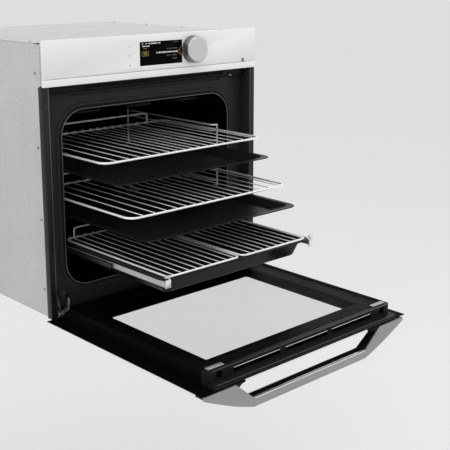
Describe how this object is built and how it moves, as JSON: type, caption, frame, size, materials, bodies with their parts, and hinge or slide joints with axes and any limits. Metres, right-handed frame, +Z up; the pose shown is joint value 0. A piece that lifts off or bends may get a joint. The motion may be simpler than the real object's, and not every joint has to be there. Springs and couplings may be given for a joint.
{
  "type": "wall oven",
  "caption": "Built-in wall oven with a drop-down glass door shown open, staggered wire racks and trays on ladder guides and telescopic rails, a dial and a touch display.",
  "frame": {"origin": "middle of the underside of the casing's base plate", "axes": "+X to the right seen from the front, -Y out of the front, towards the cook, +Z up"},
  "size_m": [0.595, 1.043, 0.658],
  "materials": {
    "white_panel": "gloss white enamel",
    "black_glass": "black printed glass, polished",
    "clear_glass": "clear heat-reflecting glass",
    "satin_silver": "satin, finely brushed",
    "brushed_steel": "plated steel",
    "chrome_wire": "bright chrome plating",
    "cavity_enamel": "black vitreous enamel",
    "tray_enamel": "black vitreous enamel",
    "frame_enamel": "charcoal enamel, semi-gloss",
    "trim_grey": "dark grey metal, semi-gloss",
    "galvanised": "zinc-coated sheet",
    "black_plastic": "black, fine texture",
    "seal_rubber": "black silicone",
    "wool": "mineral wool",
    "heating_element": "oxidised steel tube",
    "circuit_board": "green solder mask",
    "lamp_glass": "frosted heat-proof glass"
  },
  "bodies": {
    "oven": {"base_plate": "galvanised", "side_panel_left": "galvanised", "side_panel_right": "galvanised", "rear_panel": "galvanised", "top_cover": "galvanised", "insulation": "wool", "terminal_block": "black_plastic", "cavity_liner": "cavity_enamel", "front_frame": "frame_enamel", "door_seal": "seal_rubber", "ladder_left": "chrome_wire", "ladder_right": "chrome_wire", "grill_element": "heating_element", "bottom_element": "heating_element", "ring_element": "heating_element", "fan_cover": "cavity_enamel", "oven_lamp": "lamp_glass", "fan_motor": "brushed_steel", "blower_housing": "galvanised", "panel_strip": "white_panel", "control_panel": "white_panel", "display_module": "black_glass", "panel_housing": "galvanised", "control_board": "circuit_board", "knob_collar": "satin_silver", "side_trim_left": "trim_grey", "side_trim_right": "trim_grey", "hinge_arm_left": "brushed_steel", "hinge_arm_right": "brushed_steel", "lock_motor": "black_plastic", "rail_outer_left": "galvanised", "rail_outer_right": "galvanised"},
    "knob": {"knob": "satin_silver"},
    "convection_fan": {"fan_blade": "galvanised"},
    "blower": {"blower_rotor": "galvanised"},
    "door_lock": {"lock_hook": "brushed_steel"},
    "hinge_levers": {"hinge_lever_left": "chrome_wire", "hinge_lever_right": "chrome_wire"},
    "door": {"outer_glass": "black_glass", "middle_glass": "clear_glass", "inner_glass": "clear_glass", "door_profile_left": "frame_enamel", "door_profile_right": "frame_enamel", "door_top_cap": "black_plastic", "door_bottom_profile": "frame_enamel", "glass_clip_left": "brushed_steel", "glass_clip_right": "brushed_steel", "handle_blade": "satin_silver", "handle_liner": "black_plastic"},
    "upper_rack": {"wire_rack_upper": "chrome_wire"},
    "dimpled_tray": {"tray_dimpled": "tray_enamel"},
    "lower_rack": {"wire_rack_lower": "chrome_wire"},
    "flat_tray": {"tray_flat": "tray_enamel"},
    "rail_middles": {"rail_middle_left": "galvanised", "rail_middle_right": "galvanised"},
    "deep_tray_carriage": {"deep_tray": "tray_enamel", "half_grid_left": "chrome_wire", "half_grid_right": "chrome_wire", "rail_inner_left": "brushed_steel", "rail_inner_right": "brushed_steel"}
  },
  "joints": [
    {"name": "door_swing", "type": "hinge", "parent": "oven", "child": "hinge_levers", "pos_m": [0, -0.2835, 0.0135], "axis": [-1, 0, 0], "range_deg": [0, 74]},
    {"name": "door_close", "type": "hinge", "parent": "hinge_levers", "child": "door", "pos_m": [0, -0.2835, 0.0135], "axis": [-1, 0, 0], "range_deg": [0, 16]},
    {"name": "knob_turn", "type": "hinge", "parent": "oven", "child": "knob", "pos_m": [0.097, -0.3, 0.556], "axis": [0, 1, 0], "continuous": true},
    {"name": "fan_spin", "type": "hinge", "parent": "oven", "child": "convection_fan", "pos_m": [0, 0.162, 0.25], "axis": [0, 1, 0], "continuous": true},
    {"name": "blower_spin", "type": "hinge", "parent": "oven", "child": "blower", "pos_m": [0, 0.092, 0.545], "axis": [1, 0, 0], "continuous": true},
    {"name": "lock_turn", "type": "hinge", "parent": "oven", "child": "door_lock", "pos_m": [0.236, -0.236, 0.492], "axis": [1, 0, 0], "range_deg": [0, 6]},
    {"name": "upper_rack_slide", "type": "slide", "parent": "oven", "child": "upper_rack", "axis": [0, 1, 0], "range_m": [0, 0.1552]},
    {"name": "dimpled_tray_slide", "type": "slide", "parent": "oven", "child": "dimpled_tray", "axis": [0, 1, 0], "range_m": [0, 0.1962]},
    {"name": "lower_rack_slide", "type": "slide", "parent": "oven", "child": "lower_rack", "axis": [0, 1, 0], "range_m": [0, 0.2392]},
    {"name": "flat_tray_slide", "type": "slide", "parent": "oven", "child": "flat_tray", "axis": [0, 1, 0], "range_m": [0, 0.2812]},
    {"name": "rail_middle_slide", "type": "slide", "parent": "oven", "child": "rail_middles", "axis": [0, 1, 0], "range_m": [0, 0.1672]},
    {"name": "deep_tray_slide", "type": "slide", "parent": "oven", "child": "deep_tray_carriage", "axis": [0, 1, 0], "range_m": [0, 0.3342]}
  ],
  "couplings": [
    {"joint": "upper_rack_slide", "follows": "door_swing", "m_per_rad": 0.12001},
    {"joint": "dimpled_tray_slide", "follows": "door_swing", "m_per_rad": 0.15176},
    {"joint": "lower_rack_slide", "follows": "door_swing", "m_per_rad": 0.18505},
    {"joint": "flat_tray_slide", "follows": "door_swing", "m_per_rad": 0.21757},
    {"joint": "rail_middle_slide", "follows": "door_swing", "m_per_rad": 0.1293},
    {"joint": "deep_tray_slide", "follows": "door_swing", "m_per_rad": 0.25861}
  ]
}
